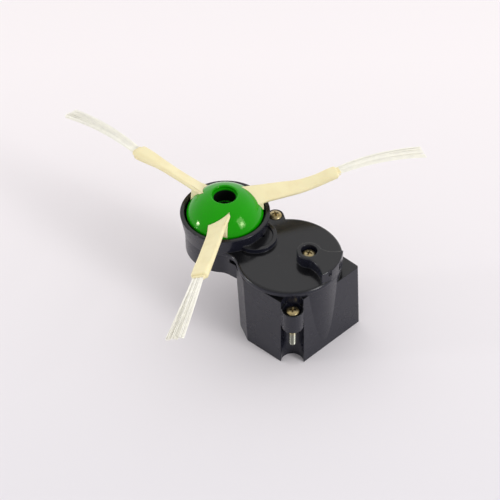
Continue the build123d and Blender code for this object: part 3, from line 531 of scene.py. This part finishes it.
# Beyond the root, the stations of each arm by its angle round the hub
ARMS = {
    60: (
        (23, -0.4, 6.6, BLADE_T, 21),
        (30, -0.8, 6.1, 2.0, 8),
        (37, 0.1, 5.6, 2.6, 2),
        (42, 1.4, 5.6, 3.1, 0),
        (46, 2.2, 5.4, 3.1, 0),
    ),
    180: (
        (24, 0.2, 6.8, BLADE_T, 27),
        (32, 0.5, 6.3, 2.3, 22),
        (38, 0.4, 6.4, 3.6, 12),
        (42, 0.2, 6.7, 4.1, 8),
        (45.4, 0.1, 6.6, 4.1, 8),
    ),
    300: (
        (24, 1.2, 7.1, BLADE_T, 26),
        (34, 3.1, 6.9, 2.0, 22),
        (39, 4.3, 6.7, 3.0, 20),
        (46, 5.6, 6.6, 3.3, 20),
    ),
}


def slope(stations, index):
    before = stations[max(index - 1, 0)]
    after = stations[min(index + 1, len(stations) - 1)]
    return [(b - a) / (after[0] - before[0]) for a, b in zip(before, after)]


def station_at(stations, distance):
    """The values at a distance along an arm, on a cubic through the stations."""
    index = sum(distance >= row[0] for row in stations[1:-1])
    here, there = stations[index], stations[index + 1]
    run = there[0] - here[0]
    share = (distance - here[0]) / run
    leave, arrive = slope(stations, index), slope(stations, index + 1)
    return [
        here[column] * (1 + 2 * share) * (1 - share) ** 2
        + leave[column] * run * share * (1 - share) ** 2
        + there[column] * share**2 * (3 - 2 * share)
        + arrive[column] * run * share**2 * (share - 1)
        for column in range(1, len(here))
    ]


print("stations per arm", [len(ROOT_STATIONS + stations) for stations in ARMS.values()])

# %% [markdown]
# The skin of an arm has a rounded rectangle at every ring. Towards the end its outline is drawn in
# over the sleeve's round shoulder, and again at the end of the thin lip that grips the bristles.
# Under the blade, a deep root block fills the opening in the hub. The two cross at an angle, so a
# boolean joins them into one closed mesh.

# %% Elastomer arms
ARM_HEIGHT = 45.5 * MM
ARM_STEPS = 80
ARM_ROUND = 0.8 * MM
SLEEVE_SOFTENS = 0.5
SIDE_LEFT = 0.02 * MM
SHOULDER = 0.8 * MM
LIP_LENGTH = 0.9 * MM
LIP_ROUND = 0.25 * MM
ROOT_DROP = 4.2 * MM
ROOT_FLARE = 0.9 * MM
CORNERS = ((1, 1), (-1, 1), (-1, -1), (1, -1))
CORNER_STEPS = 6
CORNER_TURN = 90 / CORNER_STEPS
QUARTER = [radians(CORNER_TURN * step) for step in range(CORNER_STEPS + 1)]

# The two ends of the root block in mm: distance from the axis, width
ROOT_ENDS = ((7.6, 8.8), (14.1, 7.3))


def spoke(angle, pitch):
    """Directions at an arm: out along it, level to its side, across its blade and through it."""
    outward = Vector((cos(radians(angle)), sin(radians(angle)), 0))
    level = Vector((-outward.y, outward.x, 0))
    across = level * cos(radians(pitch)) + UP * sin(radians(pitch))
    return outward, level, across, outward.cross(across)


def rounded(width, thickness, radius):
    """A rounded rectangle, as places across an arm and through it."""
    flat, deep = width / 2 - radius, thickness / 2 - radius
    places = []
    for corner, (x, y) in enumerate(CORNERS):
        for step in range(CORNER_STEPS + 1):
            turn = radians(90 * corner + CORNER_TURN * step)
            places.append((x * flat + radius * cos(turn), y * deep + radius * sin(turn)))
    return places


def drawn_in(start, end):
    """Distances along an arm, each with how far its outline is drawn in there."""
    lip = end - LIP_ROUND
    body = lip - LIP_LENGTH - SHOULDER
    places = [(start + (body - start) * step / ARM_STEPS, 0.0) for step in range(ARM_STEPS + 1)]
    for turn in QUARTER[1:]:
        places.append((body + SHOULDER * sin(turn), SHOULDER * (1 - cos(turn))))
    for turn in QUARTER:
        places.append((lip + LIP_ROUND * sin(turn), SHOULDER + LIP_ROUND * (1 - cos(turn))))
    return places


def blade_rings(angle, stations):
    rings = []
    for distance, inset in drawn_in(stations[0][0] * MM, stations[-1][0] * MM):
        rise, width, thickness, pitch = station_at(stations, distance / MM)
        outward, _, across, through = spoke(angle, pitch)
        middle = brush_foot + outward * distance + UP * (ARM_HEIGHT + rise * MM)
        thick = thickness * MM - 2 * inset
        softened = ARM_ROUND + (thickness - BLADE_T) * SLEEVE_SOFTENS * MM
        outline = rounded(width * MM - 2 * inset, thick, min(softened, thick / 2 - SIDE_LEFT))
        rings.append([middle + across * a + through * b for a, b in outline])
    return rings


def root_rings(angle):
    outward, level, _, _ = spoke(angle, BLADE_PITCH)
    lean, sink = cos(radians(BLADE_PITCH)), sin(radians(BLADE_PITCH))
    thick = BLADE_T * MM / 2
    rings = []
    for distance, width in ROOT_ENDS:
        half = width * MM / 2
        high = (half * lean - thick * sink, half * sink + thick * lean)
        low = (-half * lean - thick * sink, -half * sink + thick * lean)
        feet = ((low[0] - ROOT_FLARE / 2, -ROOT_DROP), (high[0] + ROOT_FLARE, -ROOT_DROP))
        middle = brush_foot + outward * distance * MM
        rings.append([middle + level * a + UP * (ARM_HEIGHT + b) for a, b in (high, low, *feet)])
    return rings


def arm(number, angle, stations):
    blade = skin(blade_rings(angle, ROOT_STATIONS + stations))
    made = piece(f"arm_{number}", blade, "arm_elastomer", "brush", f"brush_arm_{number}")
    return combine(made, skin(root_rings(angle)), "UNION")


print("arm faces", [arm(number, *row) for number, row in enumerate(ARMS.items(), start=1)])

# %% [markdown]
# A tuft is a flat bundle of filaments, gripped in the arm's sleeve and pitched with it. The
# filaments lie side by side, fan out a little, lean towards one of a few clumps near the end, and
# are cut a little short or long. The whole bundle has bowed and swept aside in use. Places come
# from a seeded generator, so that every run gives the same tuft.

# %% Bristle tufts
TUFT_START = 44.0 * MM
TUFT_WIDTH = 4.0 * MM
TUFT_DEPTH = 0.7 * MM
FILAMENT_R = 0.11 * MM
FILAMENTS = 100
STEPS = 12
SIDES = 5
SIDE_JITTER = 0.03
EDGES_THIN = 0.6
DEPTH_FAN = 0.6
CLUMPING = 0.22
CUT_MM = 0.7
STRAY_MM = 0.12
LIFT_MM = 0.15

# Angles and pitches in degrees, lengths in mm, the fan as a share of the width, and the places of
# the clumps from one side to the other, -1 to 1
TUFTS = (
    dict(
        angle=60, pitch=0, root_z=47.5, tip_z=48.4, reach=79.8,
        shift=0.2, bow=1.7, sweep=-1.5, fan=0.75, clumps=(-0.75, -0.1, 0.6),
    ),
    dict(
        angle=180, pitch=8, root_z=45.6, tip_z=47.2, reach=79.8,
        shift=0.1, bow=1.6, sweep=2.0, fan=0.75, clumps=(-0.6, 0.55),
    ),
    dict(
        angle=300, pitch=20, root_z=51.0, tip_z=54.6, reach=79.1,
        shift=-0.2, bow=0.5, sweep=-1.0, fan=0.75, clumps=(-0.75, 0.1, 0.7),
    ),
)


def tuft(number, angle, pitch, root_z, tip_z, reach, shift, bow, sweep, fan, clumps):
    chance = random.Random(number)
    outward, level, across, through = spoke(angle, pitch)
    sides = around(SIDES)
    builder = bmesh.new()
    for strand in range(FILAMENTS):
        side = (2 * strand + 1) / FILAMENTS - 1 + chance.uniform(-SIDE_JITTER, SIDE_JITTER)
        depth = chance.uniform(-1, 1) * (1 - side * side * EDGES_THIN)
        clump = min(clumps, key=lambda place: abs(place - side))
        length = reach * MM - TUFT_START - abs(chance.gauss(0, CUT_MM)) * MM
        stray = chance.gauss(0, STRAY_MM) * MM
        lift = chance.gauss(0, LIFT_MM) * MM
        rings = []
        for step in range(STEPS + 1):
            share = step / STEPS
            spread = (side + (clump - side) * CLUMPING * share**2) * (1 + fan * share)
            sunk = depth * TUFT_DEPTH / 2 * (1 + DEPTH_FAN * share)
            height = root_z + (tip_z - root_z) * share + bow * 4 * share * (1 - share)
            middle = (
                brush_foot
                + outward * (TUFT_START + length * share)
                + UP * (height * MM)
                + level * sweep * MM * share**2
                + across * (spread * TUFT_WIDTH / 2 + shift * MM + stray * share**2)
                + through * (sunk + lift * share**2)
            )
            rings.append([middle + (across * c + through * s) * FILAMENT_R for c, s in sides])
        add_skin(builder, rings)
    return piece(f"filaments_{number}", builder, "bristle", "brush", f"bristle_tuft_{number}")


for number, row in enumerate(TUFTS, start=1):
    tuft(number, **row)
print("tufts", len(TUFTS), "of", FILAMENTS, "filaments")

# %% [markdown]
# A screw is a skin too. Its rings run from the tip up: a blunt cone, a shank whose radius rises and
# falls along a helix, which is the thread, then the plain neck and the crowned head. The place and
# the length come from the box of the CAD screw.

# %% Threads and heads
HEAD_H = 1.9 * MM
HEAD_SIDE = 0.63 * MM
HEAD_ROUND = 0.18 * MM
CROWN_STEPS = 8
CROWN_R = 0.05 * MM
NECK_R = 1.0 * MM
NECK_LEAD = 0.2 * MM
THREAD_PITCH = 1.0 * MM
THREAD_R = 1.3 * MM
CORE_R = 0.95 * MM
RIDGE_HALF = 0.34
RIDGE_FLAT = 1.25
POINT_LENGTH = 1.6 * MM
POINT_BLUNT = 0.08
RING_SIDES = 40
RINGS_PER_PITCH = 8


def thread_radius(z, turn):
    """The radius on a thread: a narrow ridge on a core, along a helix."""
    phase = (z / THREAD_PITCH - turn) % 1.0
    ridge = max(0.0, 1.0 - abs(phase - 0.5) / RIDGE_HALF)
    return CORE_R + (THREAD_R - CORE_R) * min(1.0, ridge * RIDGE_FLAT)


def thread_rows(tip, thread_top):
    """Heights along a thread, each with the radii round it."""
    count = round((thread_top - tip) / THREAD_PITCH * RINGS_PER_PITCH)
    rows = []
    for ring in range(count + 1):
        z = tip + (thread_top - tip) * ring / count
        point = min(1.0, POINT_BLUNT + (z - tip) / POINT_LENGTH)
        turns = [side / RING_SIDES for side in range(RING_SIDES)]
        rows.append((z, [thread_radius(z - tip, turn) * point for turn in turns]))
    return rows


def head_rows(seat, head_r):
    """Heights up a crowned head, each with its radius."""
    crown = seat + HEAD_SIDE
    rows = [(seat, head_r - HEAD_ROUND), (seat + HEAD_ROUND, head_r), (crown, head_r)]
    for step in range(1, CROWN_STEPS + 1):
        rise = radians(90) * step / CROWN_STEPS
        rows.append((crown + (HEAD_H - HEAD_SIDE) * sin(rise), max(head_r * cos(rise), CROWN_R)))
    return rows


print("thread of mm", THREAD_R / MM, "on a core of", CORE_R / MM)

# %% [markdown]
# The cross in the head tapers downwards, so that a driver wedges in it. It is a skin over three
# crosses, and a boolean cuts it out. Each screw was stopped where it was tight, so each cross has
# a turn of its own.

# %% Screws
# The cross at three heights, in mm: its height from the top, its arms' length and half width
CROSS_LEVELS = ((-1.45, 0.5, 0.24), (-0.3, 1.25, 0.32), (1.0, 1.8, 0.42))


def cross_rings(axis, top, turn):
    rings = []
    for rise, long, wide in CROSS_LEVELS:
        quarter = [(x * MM, y * MM) for x, y in ((long, -wide), (long, wide), (wide, wide))]
        z = top + rise * MM
        ring = []
        for step in range(4):
            c, s = cos(turn + step * pi / 2), sin(turn + step * pi / 2)
            ring += [axis + Vector((x * c - y * s, x * s + y * c, z)) for x, y in quarter]
        rings.append(ring)
    return rings


def screw(node, slot, body, neck=0.0, turn=0.0):
    low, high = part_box(node)
    axis = Vector(((low[0] + high[0]) / 2, (low[1] + high[1]) / 2, 0))
    tip, top = low[2], high[2]
    seat = top - HEAD_H
    thread_top = seat - neck
    plain = [(thread_top + NECK_LEAD, NECK_R), (seat, NECK_R)] if neck else []
    plain += head_rows(seat, (high[0] - low[0]) / 2)
    rows = thread_rows(tip, thread_top) + [(z, [radius] * RING_SIDES) for z, radius in plain]
    sides = around(RING_SIDES)
    rings = [
        [axis + Vector((c * r, s * r, z)) for (c, s), r in zip(sides, radii)] for z, radii in rows
    ]
    made = piece(node + "_threaded", skin(rings), slot, body, node)
    return combine(made, skin(cross_rings(axis, top, turn)), "DIFFERENCE")


counts = [
    screw("cover_screw", "yellow_zinc", "module", turn=radians(20)),
    screw("rear_screw", "yellow_zinc", "module", turn=radians(55)),
    screw("mounting_screw", "yellow_zinc", "module", neck=6.9 * MM, turn=radians(35)),
    screw("hub_screw", "black_steel", "brush", turn=radians(10)),
]
print("screw faces", counts)

# %% [markdown]
# The floor is a wide sheet of pale paper. Its colour is painted lighter towards the far side, as
# painted light. It is staged, so that it isn't taken for a piece of the part.

# %% Floor
AWAY = (-0.66, 0.75, 0)
FLOOR_HALF = 1.5
FLOOR_FADE = 0.16
NEAR_PAPER = (0.74, 0.72, 0.75, 1)
FAR_PAPER_PAINTED_LIGHT = (0.93, 0.88, 0.885, 1)
floor_mesh = bpy.data.meshes.new("floor")
floor_corners = [(x * FLOOR_HALF, y * FLOOR_HALF, 0) for x, y in CORNERS]
floor_mesh.from_pydata(floor_corners, [], [(0, 1, 2, 3)])
floor = bpy.data.objects.new("floor", floor_mesh)
bpy.context.collection.objects.link(floor)
paper = material("floor_paper")
# The far side's lighter paper colour is painted light
far = paper.between(paper.along(paper.place, AWAY), -FLOOR_FADE, FLOOR_FADE)
paper.set(base_color=paper.mix(far, NEAR_PAPER, FAR_PAPER_PAINTED_LIGHT), roughness=0.9)
floor_mesh.materials.append(paper.holder)
print("floor faces up:", floor_mesh.polygons[0].normal.z > 0)

# %% [markdown]
# A tall soft lamp on the right, with a smaller and brighter core, works like a window: it makes the
# gentle shadow to the left of the housing and the tall highlight in the hub. A small one on the
# left only glints in the hub, and the world fills the rest, more from behind than from the front.

# %% Light
LAMPS_AIM = Vector((0, 0, 0.02))
ROOM_FADE = 0.75
NEAR_ROOM = (0.52, 0.52, 0.53, 1)
FAR_ROOM = (1.16, 1.15, 1.16, 1)


def lamp(name, place, width, height, power):
    """A soft upright lamp that faces the part."""
    light = bpy.data.lights.new(name, "AREA")
    light.shape = "RECTANGLE"
    light.size = width
    light.size_y = height
    light.energy = power
    held = bpy.data.objects.new(name, light)
    held.location = place
    held.rotation_mode = "QUATERNION"
    held.rotation_quaternion = (LAMPS_AIM - Vector(place)).to_track_quat("-Z", "Y")
    bpy.context.collection.objects.link(held)


lamp("key_lamp", place=(1.74, 0.18, 1.03), width=0.66, height=1.0, power=11)
lamp("key_core", place=(1.74, 0.18, 0.86), width=0.3, height=0.36, power=6)
lamp("glint_lamp", place=(-0.68, -0.73, 0.14), width=0.12, height=0.12, power=2.0)
room = Finish(bpy.data.worlds.new("studio"), "Background", "Generated")
near_to_far = room.between(room.along(room.place, AWAY), -ROOM_FADE, ROOM_FADE)
room.set(color=room.mix(near_to_far, NEAR_ROOM, FAR_ROOM), strength=1.0)
bpy.context.scene.world = room.holder
bpy.context.scene.view_settings.view_transform = "Standard"
print("lamps", len(bpy.data.lights))

# %% [markdown]
# The camera stands where the photograph was taken: high in front, looking down past the closed
# corner of the housing, with a long lens. It is placed from the brush axis, by where that point is
# seen.

# %% Camera
CAMERA_HEADING = Vector((-0.663, 0.749, 0)).normalized()
CAMERA_PITCH = radians(44.6)
CAMERA_ROLL = radians(-0.8)
CAMERA_LENS = 129.6
BRUSH_IN_VIEW = Vector((-9.4, 14.8, 676.8)) * MM
forward = CAMERA_HEADING * cos(CAMERA_PITCH) - UP * sin(CAMERA_PITCH)
level_right = forward.cross(UP).normalized()
level_up = level_right.cross(forward)
right = level_right * cos(CAMERA_ROLL) + level_up * sin(CAMERA_ROLL)
up = level_up * cos(CAMERA_ROLL) - level_right * sin(CAMERA_ROLL)
camera = bpy.data.objects.new("camera", bpy.data.cameras.new("camera"))
camera.data.lens = CAMERA_LENS
stand = brush_axis - right * BRUSH_IN_VIEW.x - up * BRUSH_IN_VIEW.y - forward * BRUSH_IN_VIEW.z
turned = Matrix((right, up, -forward)).transposed()
camera.matrix_world = Matrix.Translation(stand) @ turned.to_4x4()
bpy.context.collection.objects.link(camera)
bpy.context.scene.camera = camera
print("camera at mm", [round(v / MM) for v in stand])
